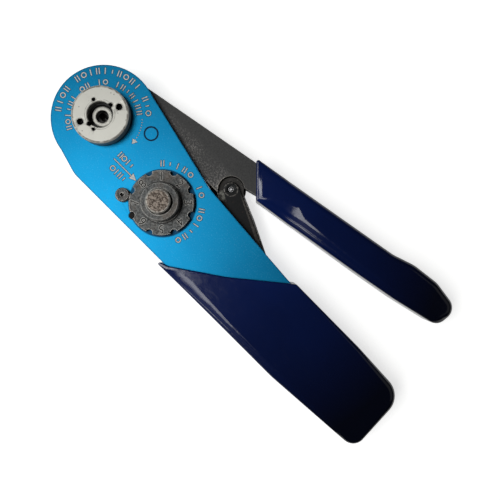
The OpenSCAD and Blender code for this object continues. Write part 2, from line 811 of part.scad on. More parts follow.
// Pawl that drops into the ratchet teeth, its pin and its leaf spring
module pawl_pin() {
    color(steel) post(pawl_pin_r, gap_z - pawl_pin_sink, front_z + pawl_pin_sink, pawl_place);
}
module ratchet_pawl() {
    nose = pawl_ring - teeth_r - 0.25;
    color(bright_steel) translate([pawl_place.x, pawl_place.y, strap_z]) rotate(pawl_angle)
        linear_extrude(strap_t) difference() {
            union() {
                circle(r = pawl_boss_r - 0.2);
                translate([0, -1.2]) square([2.2, 2.4]);
                polygon([[0, -pawl_boss_r + 0.3], [0, pawl_boss_r - 0.3], [-nose, 0.15], [-nose, -0.15]]);
            }
            circle(r = pawl_pin_r + running);
        }
}
module pawl_spring() {
    color(bright_steel) leaf();
}

// Lever: a flat blank from its eye on the drive pin to its tang in the moving grip
seat_r = knuckle_r + side_gap;
eye_clear = arm_r + 0.5;
function upper_edge(x) = lever_rise + lever_slope * x;
// A corner by its distances from the knuckle pin, at the nominal reach and rise of the moving grip
function beyond(along, across, r) =
    [knuckle_x + along * moving_reach / 91.6, knuckle_y + across * moving_rise / 29.6, r];
function inset_corner(corner, wall) = [corner[0], corner[1] + wall, corner[2]];
lever_corners = [
    [0.6, upper_edge(0.6) - 0.2, 0.6],
    [1.6, lever_rise - 2.1, 0.4],
    [drive.x - 0.8, drive.y + 2.1, 0],
    [drive.x + 3.2, drive.y - 2.4, 0],
    [drive.x + 6.6, drive.y - 1.9, 1],
    [drive.x + 9, drive.y, 2],
    [21, drive.y - 0.3, 10],
    [knuckle_x - 18, 11.8, 1],
    [knuckle_x - 16.6, 7.6, 0.8],
    [knuckle_x - 13.2, 7.6, 0.8],
    [knuckle_x - 12.2, 10.5, 1],
    [knuckle_x - 3.2, 10.5, 0],
    [knuckle_x, knuckle_y, 0],
    [knuckle_x + 2.8, knuckle_y + 3.65, 0],
    [knuckle_x + 4.5, knuckle_y + 4.2, 2],
    beyond(9.7, 5.6, 0),
    inset_corner(beyond(25.2, 5.9, 0), moving_wall),
    inset_corner(beyond(56.2, 11, 60), moving_wall),
    inset_corner([lever_end, beyond(0, 18.4, 0)[1], 3], moving_wall),
    inset_corner([lever_end, beyond(0, 28.8, 0)[1], 3], -moving_wall),
    inset_corner(beyond(69.2, 28.3, 14), -moving_wall),
    inset_corner(beyond(55.2, 24.8, 12), -moving_wall),
    inset_corner(beyond(14.2, 17.4, 60), -moving_wall),
    [knuckle_x - 1.3, upper_edge(knuckle_x - 1.3), 1]
];
module lever_outline() {
    polygon(rounded(lever_corners));
}
module moving_lever() {
    eye_r = drive_pin_r + 1.7;
    color(dark_steel) difference() {
        union() {
            difference() {
                translate([0, 0, lever_z]) linear_extrude(lever_t) lever_outline();
                post(seat_r, lever_z - 1, lever_top + 1, knuckle);
                post(eye_clear, lever_z - 1, lever_top + 1, drive);
            }
            post(lug_r, lever_z, lug_top, knuckle);
            translate([0, 0, mid_z - tongue_t / 2]) linear_extrude(tongue_t) {
                translate(drive) circle(r = eye_r);
                polygon([
                    drive - [0, eye_r], [11.8, 12.3], [11.8, upper_edge(11.8) - 1.5],
                    drive + [-0.6, eye_r - 0.1]
                ]);
            }
        }
        post(drive_pin_r + drive_slack, lever_z - 1, lever_top + 1, drive);
        post(knuckle_pin_r, lever_z - 1, lug_top + 1, knuckle);
    }
}

// Vinyl dipped over the lever's tang
moving_grip_corners = [
    concat(beyond(9.7, 3.6, 0.8), 1.8),
    concat(beyond(25.2, 5.9, 40), 3.4),
    concat(beyond(56.2, 11, 60), 3.4),
    concat(beyond(72.2, 13.9, 30), 3.4),
    concat(beyond(90.6, 18.2, 4.5), 3.4),
    concat(beyond(91.6, 27.8, 5), 3),
    concat(beyond(79.2, 29.6, 10), 2.6),
    concat(beyond(68.6, 28.3, 14), 2.6),
    concat(beyond(60.2, 25.5, 12), 2.6),
    concat(beyond(13.7, 17.4, 40), 2.6),
    concat(beyond(-1.3, 14.7, 0.8), 1.8)
];
module moving_grip() {
    color(navy) difference() {
        dipped_grip(moving_grip_corners, lever_z - moving_vinyl, lever_top + moving_vinyl);
        translate([0, 0, lever_z]) linear_extrude(lever_t) lever_outline();
    }
}

front_plate();
back_plate();
handle_core();
fixed_grip();
indenter_block();
indenter_spring();
wire_guide();
positioner_ring();
retainer_screw(retainer_screw_angles[0]);  // retainer_screw_1
retainer_screw(retainer_screw_angles[1]);  // retainer_screw_2
thrust_spring();
thrust_hub();
head_dowel();
spacer_post(0);  // spacer_post_1
spacer_post(1);  // spacer_post_2
spacer_post(2);  // spacer_post_3
spacer_post(3);  // spacer_post_4
spacer_post(4);  // spacer_post_5
body_screw(0);  // body_screw_1
body_screw(1);  // body_screw_2
body_screw(2);  // body_screw_3
body_screw(3);  // body_screw_4
lock_post();
index_pin();
selector_bushing();
selector_dial();
selector_shaft();
selector_spring();
shaft_clip();
selector_cam();
link_pin();
toggle_link();
ratchet_sector();
sector_rivet(0);  // sector_rivet_1
sector_rivet(1);  // sector_rivet_2
return_spring();
pawl_pin();
ratchet_pawl();
pawl_spring();
moving_lever();
moving_grip();
knuckle_pin();
cam_ring();
drive_pin();
indenter(0);  // indenter_1
indenter(90);  // indenter_2
indenter(180);  // indenter_3
indenter(270);  // indenter_4
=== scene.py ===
import math

import bmesh
import bpy
from mathutils import Matrix, Vector


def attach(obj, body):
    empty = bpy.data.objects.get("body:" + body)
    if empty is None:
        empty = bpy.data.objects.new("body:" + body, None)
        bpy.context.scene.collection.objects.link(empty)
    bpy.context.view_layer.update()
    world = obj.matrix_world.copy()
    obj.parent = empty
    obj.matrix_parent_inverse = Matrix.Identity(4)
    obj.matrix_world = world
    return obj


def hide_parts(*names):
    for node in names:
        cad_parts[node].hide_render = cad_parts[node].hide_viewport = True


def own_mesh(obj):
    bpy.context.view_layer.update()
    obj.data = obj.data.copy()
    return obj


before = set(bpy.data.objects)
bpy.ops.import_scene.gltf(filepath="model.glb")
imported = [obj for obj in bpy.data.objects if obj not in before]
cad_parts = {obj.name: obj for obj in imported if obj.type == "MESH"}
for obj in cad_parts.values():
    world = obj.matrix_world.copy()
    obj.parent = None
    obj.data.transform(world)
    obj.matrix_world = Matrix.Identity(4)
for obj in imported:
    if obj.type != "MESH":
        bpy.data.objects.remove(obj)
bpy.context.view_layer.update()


# The floor is a plain board with matt white paint, and the tool lies on it on its back.
# Its own white shows to the camera and in reflections, so it needs no extra light on the tool.
MM = 0.001
FLOOR_HALF = 2000 * MM
FLOOR_GAP = 0.02 * MM
GLOW_TO_CAMERA = 0.7
GLOW_IN_GLOSS = 0.35


def linear(colour):
    """An sRGB hex colour as linear red, green, blue and alpha."""
    parts = [int(colour[i:i + 2], 16) / 255 for i in (1, 3, 5)]
    return [p / 12.92 if p <= 0.04045 else ((p + 0.055) / 1.055) ** 2.4 for p in parts] + [1.0]


def add_node(tree, kind, inputs, output=0, **settings):
    """Adds a node and gives back one of its outputs. An input is a number, a hex colour or a socket."""
    made = tree.nodes.new("ShaderNode" + kind)
    for name, value in settings.items():
        setattr(made, name, value)
    for name, value in inputs.items():
        if isinstance(value, bpy.types.NodeSocket):
            tree.links.new(value, made.inputs[name])
        else:
            made.inputs[name].default_value = linear(value) if isinstance(value, str) else value
    return made.outputs[output] if made.outputs else None


def blank_material(name):
    """A material without nodes, its tree, and the place on the object in metres."""
    material = bpy.data.materials.new(name)
    material.use_nodes = True
    tree = material.node_tree
    tree.nodes.clear()
    return material, tree, add_node(tree, "TexCoord", {}, "Object")


board, tree, place = blank_material("matt_white_board")
to_camera = add_node(tree, "LightPath", {}, "Is Camera Ray")
in_gloss = add_node(tree, "LightPath", {}, "Is Glossy Ray")
gloss_glow = add_node(tree, "Math", {0: in_gloss, 1: GLOW_IN_GLOSS}, operation="MULTIPLY")
glow = add_node(tree, "Math", {0: to_camera, 1: GLOW_TO_CAMERA, 2: gloss_glow}, operation="MULTIPLY_ADD")
own_white = add_node(tree, "Emission", {"Color": "#ffffff", "Strength": glow})
paint = add_node(tree, "BsdfDiffuse", {"Color": "#f2f2f0", "Roughness": 0.5})
both = add_node(tree, "AddShader", {0: paint, 1: own_white})
add_node(tree, "OutputMaterial", {"Surface": both})
floor_mesh = bpy.data.meshes.new("floor")
corners = [(x * FLOOR_HALF, y * FLOOR_HALF, 0) for x, y in ((-1, -1), (1, -1), (1, 1), (-1, 1))]
floor_mesh.from_pydata(corners, [], [(0, 1, 2, 3)])
floor_mesh.materials.append(board)
floor = bpy.data.objects.new("floor", floor_mesh)
floor.location.z = -FLOOR_GAP
bpy.context.scene.collection.objects.link(floor)


# The camera looks straight down on the tool from about a forearm's length, rolled by an eighth of a turn,
# so the head is at the upper left and both handles run to the lower right.
TOOL_MIDDLE = Vector((73.0 * MM, 3.7 * MM, 0))
CAMERA_HEIGHT = 240.4 * MM
camera_data = bpy.data.cameras.new("camera")
camera_data.sensor_width = 36
camera_data.lens = 43.7
camera = bpy.data.objects.new("camera", camera_data)
camera.location = TOOL_MIDDLE + Vector((0, 0, CAMERA_HEIGHT))
camera.rotation_euler = (0, 0, math.radians(45))
bpy.context.scene.collection.objects.link(camera)
bpy.context.scene.camera = camera
bpy.context.scene.view_settings.view_transform = "Standard"


# The studio has two soft boxes above the left, a weak one opposite, and dark walls with one pale patch low on
# the left. Glossy faces are dark but where they turn to that patch, so the grips' left edges gleam.
PALE_PATCH = Vector((-0.45, -0.78, 0.43))
PATCH_RIM = 0.8
PATCH_MIDDLE = 0.98
DARK_WALL = 0.02
PALE_WALL = 1.2


def soft_box(name, place_mm, size_mm, watts):
    """A square area light that faces the tool."""
    data = bpy.data.lights.new(name, "AREA")
    data.energy = watts
    data.size = size_mm * MM
    lamp = bpy.data.objects.new(name, data)
    lamp.location = [v * MM for v in place_mm]
    lamp.rotation_euler = (TOOL_MIDDLE - lamp.location).to_track_quat("-Z", "Y").to_euler()
    bpy.context.scene.collection.objects.link(lamp)


soft_box("key_light", (-67, -97, 485), 190, 0.8)
soft_box("low_left_light", (57, -235, 485), 130, 0.27)
soft_box("fill_light", (420, 300, 420), 420, 0.12)
walls = bpy.data.worlds.new("studio_walls")
bpy.context.scene.world = walls
walls.use_nodes = True
tree = walls.node_tree
tree.nodes.clear()
outlook = add_node(tree, "TexCoord", {}, "Generated")
nearness = add_node(tree, "VectorMath", {0: outlook, 1: PALE_PATCH}, "Value", operation="DOT_PRODUCT")
level = add_node(tree, "MapRange", {
    "Value": nearness,
    "From Min": PATCH_RIM, "From Max": PATCH_MIDDLE, "To Min": DARK_WALL, "To Max": PALE_WALL,
})
to_camera = add_node(tree, "LightPath", {}, "Is Camera Ray")
level = add_node(tree, "Math", {0: level, 1: to_camera}, operation="MAXIMUM")
sky = add_node(tree, "Background", {"Color": "#f7f8fa", "Strength": level})
add_node(tree, "OutputWorld", {"Surface": sky})


# The two body plates are milled aluminium, blasted fine and anodised sky blue: a clear dye over metal, which
# gleams softly. The blasting's grain is drawn coarser than the real one. A steel dowel of the same blue sits
# flush in the head. Dirt has darkened the plates' edges and the dowel's joint, and painted shade darkens the
# plate under and round the dial.
BLAST_GRAIN = 0.45
DOWEL_AXIS = (16.6, 8.3)
DOWEL_R = 2.5
DIAL_AXIS = (37.8, -7.0)
DIAL_SHADE_RIM_R = 12.9
DIAL_SHADE_FULL_R = 12.45
PLATE_EDGE = 0.25


def blotches(tree, place, size_mm, detail=3.0, roughness=0.5, start=0.0, end=1.0, low=0.0, high=1.0):
    """Cloudy noise with spots of about this size. It is low up to one level of the noise and high from the
    other."""
    noise = add_node(tree, "TexNoise", {
        "Vector": place, "Scale": 1 / (size_mm * MM), "Detail": detail, "Roughness": roughness,
    }, "Fac")
    return add_node(tree, "MapRange", {
        "Value": noise, "From Min": start, "From Max": end, "To Min": low, "To Max": high,
    })


def overlap(tree, *masks):
    """1 where all of these masks are 1."""
    whole = masks[0]
    for mask in masks[1:]:
        whole = add_node(tree, "Math", {0: whole, 1: mask}, operation="MULTIPLY")
    return whole


def either(tree, *masks):
    """1 where any of these masks is 1."""
    whole = masks[0]
    for mask in masks[1:]:
        whole = add_node(tree, "Math", {0: whole, 1: mask}, operation="MAXIMUM")
    return whole


def layered(tree, under, over, *masks):
    """One colour, and another over it where all the masks are 1."""
    amount = overlap(tree, *masks)
    return add_node(tree, "Mix", {0: amount, 6: under, 7: over}, 2, data_type="RGBA")


def edge_mask(tree, width_mm, full, start):
    """1 on the edges of a piece and 0 on its faces. Rounding the edges turns the normal there, and the mask
    starts at one cosine of that turn and is full at another."""
    rounded_normal = add_node(tree, "Bevel", {"Radius": width_mm * MM}, samples=4)
    true_normal = add_node(tree, "NewGeometry", {}, "True Normal")
    both = {0: rounded_normal, 1: true_normal}
    cosine = add_node(tree, "VectorMath", both, "Value", operation="DOT_PRODUCT")
    return add_node(tree, "MapRange", {"Value": cosine, "From Min": start, "From Max": full})


def from_axis(tree, place, axis):
    """The distance in metres from an upright axis that is given in millimetres."""
    x, y = axis[:2]
    offset = add_node(tree, "VectorMath", {0: place, 1: (x * MM, y * MM, 0)}, operation="SUBTRACT")
    level = add_node(tree, "VectorMath", {0: offset, 1: (1, 1, 0)}, operation="MULTIPLY")
    return add_node(tree, "VectorMath", {0: level}, "Value", operation="LENGTH")


def round_axis(tree, place, axis, start_mm, end_mm, low=0.0, high=1.0):
    """Low at one distance from an upright axis, and high at the other."""
    return add_node(tree, "MapRange", {
        "Value": from_axis(tree, place, axis),
        "From Min": start_mm * MM, "From Max": end_mm * MM, "To Min": low, "To Max": high,
    })


def ring_line(tree, place, axis, radius_mm, half_width_mm):
    """1 on a circle round an upright axis, and 0 away from it."""
    distance = from_axis(tree, place, axis)
    off = add_node(tree, "Math", {0: distance, 1: radius_mm * MM}, operation="SUBTRACT")
    off = add_node(tree, "Math", {0: off}, operation="ABSOLUTE")
    return add_node(tree, "MapRange", {
        "Value": off, "From Min": half_width_mm * MM, "From Max": 0.4 * half_width_mm * MM,
    })


def surface(tree, bumps, **inputs):
    """Ends a material with a principled shader. Its inputs are named with underscores for spaces. Each bump
    is a height, a strength and a depth in millimetres, on top of the one before."""
    named = {name.replace("_", " "): value for name, value in inputs.items()}
    for height, strength, depth_mm in bumps:
        bump = {"Height": height, "Strength": strength, "Distance": depth_mm * MM}
        if "Normal" in named:
            bump["Normal"] = named["Normal"]
        named["Normal"] = add_node(tree, "Bump", bump)
    add_node(tree, "OutputMaterial", {"Surface": add_node(tree, "BsdfPrincipled", named)})


def dress(name, material, edge_mm=0.0):
    """Gives a CAD node its material, and breaks its sharp edges by a width in millimetres."""
    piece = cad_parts[name]
    piece.material_slots[0].material = material
    if edge_mm:
        break_edges(piece, edge_mm)


def break_edges(piece, edge_mm):
    """Rounds a piece's sharp edges by a width in millimetres."""
    joined = piece.modifiers.new("joined", "WELD")
    joined.merge_threshold = 0.001 * MM
    broken = piece.modifiers.new("broken_edge", "BEVEL")
    broken.width = edge_mm * MM
    broken.segments = 2
    broken.limit_method = "ANGLE"
    broken.angle_limit = math.radians(40)
    even = piece.modifiers.new("even_shading", "WEIGHTED_NORMAL")
    even.weight = 100


anodised, tree, place = blank_material("blue_anodised_aluminium")
dye = layered(tree, "#0072a0", "#0482b0", blotches(tree, place, 14, detail=4.0))
sparkle = blotches(tree, place, BLAST_GRAIN, start=0.56, end=0.75, high=0.3)
blasted = layered(tree, dye, "#4f9fc6", sparkle)
edges = edge_mask(tree, 0.7, full=0.97, start=0.998)
dirty_edges_and_grip_shade = layered(tree, blasted, "#03243c", edges, blotches(tree, place, 3, start=0.35, end=0.6, low=0.6))
joint = ring_line(tree, place, DOWEL_AXIS, DOWEL_R, 0.36)
# Painted shade: the plate is darkened under the dial and in a thin ring just outside its rim.
shade_below_dial = round_axis(tree, place, DIAL_AXIS, DIAL_SHADE_RIM_R, DIAL_SHADE_FULL_R, high=0.85)
surface(
    tree, [(blotches(tree, place, BLAST_GRAIN), 0.12, 0.05)],
    Base_Color=layered(tree, dirty_edges_and_grip_shade, "#020d24", either(tree, joint, shade_below_dial)),
    Metallic=0.86,
    Roughness=blotches(tree, place, BLAST_GRAIN, low=0.36, high=0.46),
)
for name in ("front_plate", "back_plate"):
    dress(name, anodised, PLATE_EDGE)
dress("head_dowel", anodised)


# The marks round the retainer and the dial are cut by an engraving cutter and filled with pale paint. They
# are plain graduations in groups: ticks, double ticks, rings, a dotted turning arrow and a pointer. The paint
# is as good as flush, and chipped. Every mark has a thin dark outline of painted shade round the cut.
PLATE_TOP = 15.4
CUT_DEPTH = 0.1
LINE = 0.38
SHORT_TICK = 0.6
DOUBLE_TICK = 1.0
RING_SHARE = 0.45
SHADE_SPREAD = 0.2
SHADE_PROUD = 0.012
PAINT_PROUD = 0.03
RETAINER_AXIS = (0, 0)
# Each round row has its centre, radius, first angle, angle from mark to mark, height and marks.
ROUND_ROWS = [
    ((-0.6, 0.3), 16.8, 216, -9.3, 2.4, ":|o: :o|:|-:o:| :-o"),
    (RETAINER_AXIS, 13.3, 241, -9.9, 2.2, ":o|-:| o: |o |:-:|::"),
    (DIAL_AXIS, 14.8, 135, -11.2, 2.3, ":-|:o |o :o|-:o"),
]
# Each straight row has its place across the plate and its marks. The rows start on a slanted line.
STRAIGHT_ROWS = [(-5.3, ":o|-"), (-10.8, "o|:-")]
ROW_TALL = 2.4
ROW_START = 12.9
ROW_SLANT = -0.25
ROW_STEP = 1.9
# The turning arrow runs clockwise from its first dot. Its places are angles in degrees.
DOTS = 9
DOT = 0.36
DOT_RING = 14.3
DOTS_START = 42
DOT_STEP = -4
ARROW_BACK = 9.5
ARROW_TIP = 2.5
ARROW_HALF = 1.1
POINTER_TIP = (25.0, -8.0)
POINTER_MIDDLE = 7
POINTER_SHAFT = 9.2
POINTER_LINE = 0.35
POINTER_HEAD = 2.6
POINTER_HALF = 1.2


def fill(bm, ring, proud, hole=None):
    """A patch of paint or painted shade with this outline, listed anticlockwise in millimetres on the plate.
    A hole has as many points as the outline."""
    walls = []
    for outline in (ring, hole or []):
        low = [bm.verts.new((x * MM, y * MM, (PLATE_TOP - CUT_DEPTH) * MM)) for x, y in outline]
        high = [bm.verts.new((x * MM, y * MM, (PLATE_TOP + proud) * MM)) for x, y in outline]
        walls.append((low, high))
    (low, high), (hole_low, hole_high) = walls
    for i in range(len(ring)):
        j = (i + 1) % len(ring)
        bm.faces.new((low[i], low[j], high[j], high[i]))
        if hole:
            bm.faces.new((hole_low[j], hole_low[i], hole_high[i], hole_high[j]))
            bm.faces.new((high[i], high[j], hole_high[j], hole_high[i]))
            bm.faces.new((low[j], low[i], hole_low[i], hole_low[j]))
    if not hole:
        bm.faces.new(high)
        bm.faces.new(low[::-1])


def at(centre, radius, angle, along=0.0, across=0.0):
    """A point at a radius and an angle in degrees, moved outward and sideways."""
    turn = math.radians(angle)
    far = radius + along
    return (
        centre[0] + far * math.cos(turn) - across * math.sin(turn),
        centre[1] + far * math.sin(turn) + across * math.cos(turn),
    )


def stroke(bm, centre, radius, angle, along, across, proud, aside=0.0):
    """A dash, given its length outward and its width. Each of its round corners has three points."""
    round_r = min(along, across) / 2
    ring = []
    for step in range(12):
        a = math.radians(30 * step + 15)
        x = math.copysign(along / 2 - round_r, math.cos(a)) + round_r * math.cos(a)
        y = math.copysign(across / 2 - round_r, math.sin(a)) + round_r * math.sin(a)
        ring.append(at(centre, radius, angle, x, y + aside))
    fill(bm, ring, proud)


def ring_mark(bm, centre, radius, angle, outer, inner, proud):
    """A small ring with sixteen sides."""
    turns = [math.radians(22.5 * step) for step in range(16)]
    outside = [at(centre, radius, angle, outer * math.cos(a), outer * math.sin(a)) for a in turns]
    inside = [at(centre, radius, angle, inner * math.cos(a), inner * math.sin(a)) for a in turns]
    fill(bm, outside, proud, inside)


def marks(bm, centre, radius, start, step, tall, pattern, spread, proud):
    """A row of marks round a centre: | a tick, : a double tick, o a ring, - a short tick, or a space. Each is
    spread by a margin on all sides."""
    wide = LINE + 2 * spread
    for i, kind in enumerate(pattern):
        angle = start + i * step
        if kind == "|":
            stroke(bm, centre, radius, angle, tall + 2 * spread, wide, proud)
        elif kind == "-":
            stroke(bm, centre, radius, angle, SHORT_TICK * tall + 2 * spread, wide, proud)
        elif kind == ":":
            for aside in (DOUBLE_TICK / 2, -DOUBLE_TICK / 2):
                stroke(bm, centre, radius, angle, tall + 2 * spread, wide, proud, aside)
        elif kind == "o":
            outer = RING_SHARE * tall + spread
            ring_mark(bm, centre, radius, angle, outer, outer - wide, proud)


def engraved(name, material, spread, proud):
    """All the marks on the front plate, spread by a margin, as one piece."""
    bm = bmesh.new()
    for row in ROUND_ROWS:
        marks(bm, *row, spread, proud)
    for across, pattern in STRAIGHT_ROWS:
        for i, kind in enumerate(pattern):
            spot = (ROW_START + ROW_SLANT * across + ROW_STEP * i, across)
            marks(bm, spot, 0, 90, 0, ROW_TALL, kind, spread, proud)
    for i in range(DOTS):
        angle = DOTS_START + DOT_STEP * i
        stroke(bm, RETAINER_AXIS, DOT_RING, angle, DOT + spread, DOT + spread, proud)
    arrow = [
        at(RETAINER_AXIS, DOT_RING - ARROW_HALF - spread, ARROW_BACK),
        at(RETAINER_AXIS, DOT_RING, ARROW_TIP - 5 * spread),
        at(RETAINER_AXIS, DOT_RING + ARROW_HALF + spread, ARROW_BACK),
    ]
    fill(bm, arrow, proud)
    tip_x, tip_y = POINTER_TIP
    middle = (tip_x - POINTER_MIDDLE, tip_y)
    stroke(bm, middle, 0, 0, POINTER_SHAFT + 2 * spread, POINTER_LINE + 2 * spread, proud)
    neck = tip_x - POINTER_HEAD - spread
    half = POINTER_HALF + spread
    fill(bm, [(neck, tip_y - half), (tip_x + 2 * spread, tip_y), (neck, tip_y + half)], proud)
    mesh = bpy.data.meshes.new(name)
    bm.to_mesh(mesh)
    bm.free()
    add_piece(name, mesh, material, "frame")


def add_piece(name, mesh, material, body):
    """Puts a finished mesh in the scene as a piece that rides on a body."""
    piece = bpy.data.objects.new(name, mesh)
    if not mesh.materials:
        mesh.materials.append(material)
    bpy.context.scene.collection.objects.link(piece)
    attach(piece, body)
    return piece


engraving, tree, place = blank_material("engraving_paint")
chipped = blotches(tree, place, 0.5, detail=2.0, start=0.3, end=0.5)
surface(tree, [], Base_Color=layered(tree, "#b9c8d3", "#f4f3ef", chipped), Roughness=0.6)
# Painted shade: a dark blue outline round every mark stands in for the shade at the cut's edge.
engraving_shade, tree, place = blank_material("painted_shade_in_engraving")
shade_mottle = blotches(tree, place, 0.6, detail=2.0, start=0.35, end=0.6)
surface(tree, [], Base_Color=layered(tree, "#0b5a86", "#04213f", shade_mottle), Roughness=0.7)
engraved("engraving_outlines", engraving_shade, SHADE_SPREAD, SHADE_PROUD)
engraved("graduations", engraving, 0, PAINT_PROUD)


# Both grips are soft vinyl: the hot handle is dipped in the liquid plastic, so it has no seams, follows the
# steel below it, and sets with a wet gloss. It is dyed navy right through, and painted shade darkens it
# towards the ends. Waves, runs, pores and hair scratches break up the reflections. The last two are drawn
# coarse.
DARKENING_FROM = (60, 0)
DARKENING_LENGTH = 84
# How the vinyl turns from its side to its top, as distances inward and down. Two soft ridges show the steel's
# edge below it. From FACET_START on the points move inward by the width of a facet, which slopes by its drop.
RIDGED_DEPTH = 3.4
RIDGED_EDGE = [
    (0, RIDGED_DEPTH), (0.08, 2.7), (0.4, 2.05), (0.95, 1.6), (1.5, 1.34), (1.8, 1.26), (2.1, 1.23),
    (2.35, 1.14), (2.7, 0.9), (3.1, 0.6), (3.4, 0.42), (3.65, 0.27), (3.9, 0.16),
    (3.9, 0.16), (4.15, 0.09), (4.4, 0.04), (4.8, 0.01), (5.2, 0),
]
FACET_START = 13
vinyl, tree, place = blank_material("dipped_navy_vinyl")
waves = blotches(tree, place, 18, detail=2.0)
runs = blotches(tree, place, 3.5, detail=1.0)
pores = blotches(tree, place, 0.9, detail=2.0)
scratched = add_node(tree, "Mapping", {"Vector": place, "Rotation": (0, 0, 0.5), "Scale": (1, 9, 1)})
fresh = layered(tree, "#0d2058", "#122a70", waves)
# Painted shade: the vinyl darkens with distance from near the head towards the grips' ends.
dirty_edges_and_grip_shade = round_axis(tree, place, DARKENING_FROM, 0, DARKENING_LENGTH)
surface(
    tree, [(waves, 0.2, 0.4), (runs, 0.35, 0.12), (pores, 0.05, 0.05)],
    Base_Color=layered(tree, fresh, "#040716", dirty_edges_and_grip_shade),
    Roughness=blotches(tree, scratched, 5, detail=5.0, start=0.6, end=0.8, low=0.13, high=0.24),
    IOR=1.5,
)


def rounded(corners, steps=10):
    """The points of an outline whose corners are (x, y, radius, ...). Each comes with its corner's further
    values, the corner's arc centre and radius, and the way its mitre runs inward."""
    points = []
    count = len(corners)
    for i, corner in enumerate(corners):
        here = Vector(corner[:2])
        to_last = Vector(corners[i - 1][:2]) - here
        to_next = Vector(corners[(i + 1) % count][:2]) - here
        if corner[2] == 0:
            points.append((here, corner[3:], None, 0, None))
            continue
        half = to_last.angle(to_next) / 2
        back = min(corner[2] / math.tan(half), 0.49 * to_last.length, 0.49 * to_next.length)
        radius = back * math.tan(half)
        to_last.normalize()
        to_next.normalize()
        mitre = (to_last + to_next).normalized() / math.sin(half)
        centre = here + mitre * radius
        start = here + to_last * back - centre
        end = here + to_next * back - centre
        first = math.atan2(start.y, start.x)
        sweep = math.remainder(math.atan2(end.y, end.x) - first, 2 * math.pi)
        for step in range(steps + 1):
            a = first + sweep * step / steps
            point = centre + radius * Vector((math.cos(a), math.sin(a)))
            points.append((point, corner[3:], centre, radius, mitre))
    return points


def inset(outline, i, distance):
    """Where a point of an outline comes to lie when the outline moves inward, even by more than a corner's
    radius."""
    point, _, centre, radius, mitre = outline[i]
    along = (outline[(i + 1) % len(outline)][0] - outline[i - 1][0]).normalized()
    way = Vector((-along.y, along.x))
    if centre and distance > radius and way.dot(mitre) > 0:
        return centre + mitre * (distance - radius)
    return point + way * distance


def sleeve(name, corners, low, high):
    """A grip's mesh from its outline and its two heights. A corner is x, y, its radius, the depth of the edge
    there, how much of the ridges shows, and the width and drop of the facet."""
    outline = rounded(corners)
    count = len(outline)
    last = len(RIDGED_EDGE) - 1
    bm = bmesh.new()
    rings = []
    for k in range(last, -1, -2):
        turn = math.radians(90) * k / last
        ring = []
        for i, (_, (depth, *_), *_) in enumerate(outline):
            spot = inset(outline, i, depth * (1 - math.cos(turn)))
            ring.append(bm.verts.new((spot.x * MM, spot.y * MM, (low + depth * (1 - math.sin(turn))) * MM)))
        rings.append(ring)
    for k in range(last + 1):
        turn = math.radians(90) * k / last
        ring = []
        for i, (_, (depth, ridged, facet, drop), *_) in enumerate(outline):
            ridge_in, ridge_down = (v * depth / RIDGED_DEPTH for v in RIDGED_EDGE[k])
            if k >= FACET_START:
                ridge_in += facet
            else:
                ridge_down += drop
            plain_in = depth * (1 - math.cos(turn))
            plain_down = depth * (1 - math.sin(turn))
            spot = inset(outline, i, plain_in + (ridge_in - plain_in) * ridged)
            down = plain_down + (ridge_down - plain_down) * ridged
            ring.append(bm.verts.new((spot.x * MM, spot.y * MM, (high - down) * MM)))
        rings.append(ring)
    for lower, upper in zip(rings, rings[1:]):
        for i in range(count):
            j = (i + 1) % count
            bm.faces.new((lower[i], lower[j], upper[j], upper[i]))
    bm.faces.new(rings[0][::-1])
    bm.faces.new(rings[-1])
    bmesh.ops.remove_doubles(bm, verts=bm.verts, dist=0.002 * MM)
    mesh = bpy.data.meshes.new(name)
    bm.to_mesh(mesh)
    bm.free()
    for face in mesh.polygons:
        face.use_smooth = True
    return mesh


# The fixed grip is the vinyl over the rear of both plates, which fill the cavity in it. Its front edge runs
# at a slant across them, and the ridges and a facet run along its outer side.
FIXED_GRIP_TOP = 16.8
PLATES_LOW = 1.4
FIXED_GRIP_CORNERS = [
    (50.2, -24, 0.5, 0.3, 0, 0, 0),
    (56, -24, 0, 0.7, 0.5, 0.3, 0.05),
    (60, -24, 0, 0.95, 1, 2.5, 0.27),
    (66, -24, 0, 1.3, 1, 2.6, 0.29),
    (77, -24, 0, 1.9, 1, 1.3, 0.15),
    (87, -24, 0, 2.2, 1, 0.4, 0.05),
    (112, -24, 60, 2.2, 1, 0, 0),
    (143, -21.8, 30, 1.6, 0.7, 0, 0),
    (152.3, -21, 6, 1.5, 0, 0, 0),
    (151.5, 5.5, 8, 2.4, 0, 0, 0),
    (127, 6.7, 60, 1.8, 0, 0, 0),
    (94.2, 6.9, 0.8, 0.6, 0, 0, 0),
    (92.2, 5.4, 0.8, 0.5, 0, 0, 0),
    (73.8, -9.6, 60, 0.5, 0, 0, 0),
    (55.6, -22, 8, 0.45, 0, 0, 0),
]
PLATE_REAR = [
    (40, -22.5, 0),
    (112, -22.5, 60),
    (149.5, -20.3, 6),
    (149.5, 5, 7),
    (90.7, 5.8, 0),
    (46.4, 9.15, 20),
    (40, 10.6, 0),
]


def cut_out(piece, cutter):
    """Cuts one mesh object out of another and keeps the result as the first one's mesh."""
    cut = piece.modifiers.new("cut", "BOOLEAN")
    cut.object = cutter
    cut.solver = "EXACT"
    shaped = bpy.data.meshes.new_from_object(piece.evaluated_get(bpy.context.evaluated_depsgraph_get()))
    piece.modifiers.clear()
    piece.data = shaped
    bpy.data.objects.remove(cutter)


def slab(name, outline, low, high):
    """A straight block between two heights from the points of its outline, as an object."""
    bm = bmesh.new()
    base = [bm.verts.new((p.x * MM, p.y * MM, low * MM)) for p in outline]
    top = [bm.verts.new((p.x * MM, p.y * MM, high * MM)) for p in outline]
    count = len(outline)
    bm.faces.new(base[::-1])
    bm.faces.new(top)
    for i in range(count):
        bm.faces.new((base[i], base[(i + 1) % count], top[(i + 1) % count], top[i]))
    mesh = bpy.data.meshes.new(name)
    bm.to_mesh(mesh)
    bm.free()
    block = bpy.data.objects.new(name, mesh)
    bpy.context.scene.collection.objects.link(block)
    return block


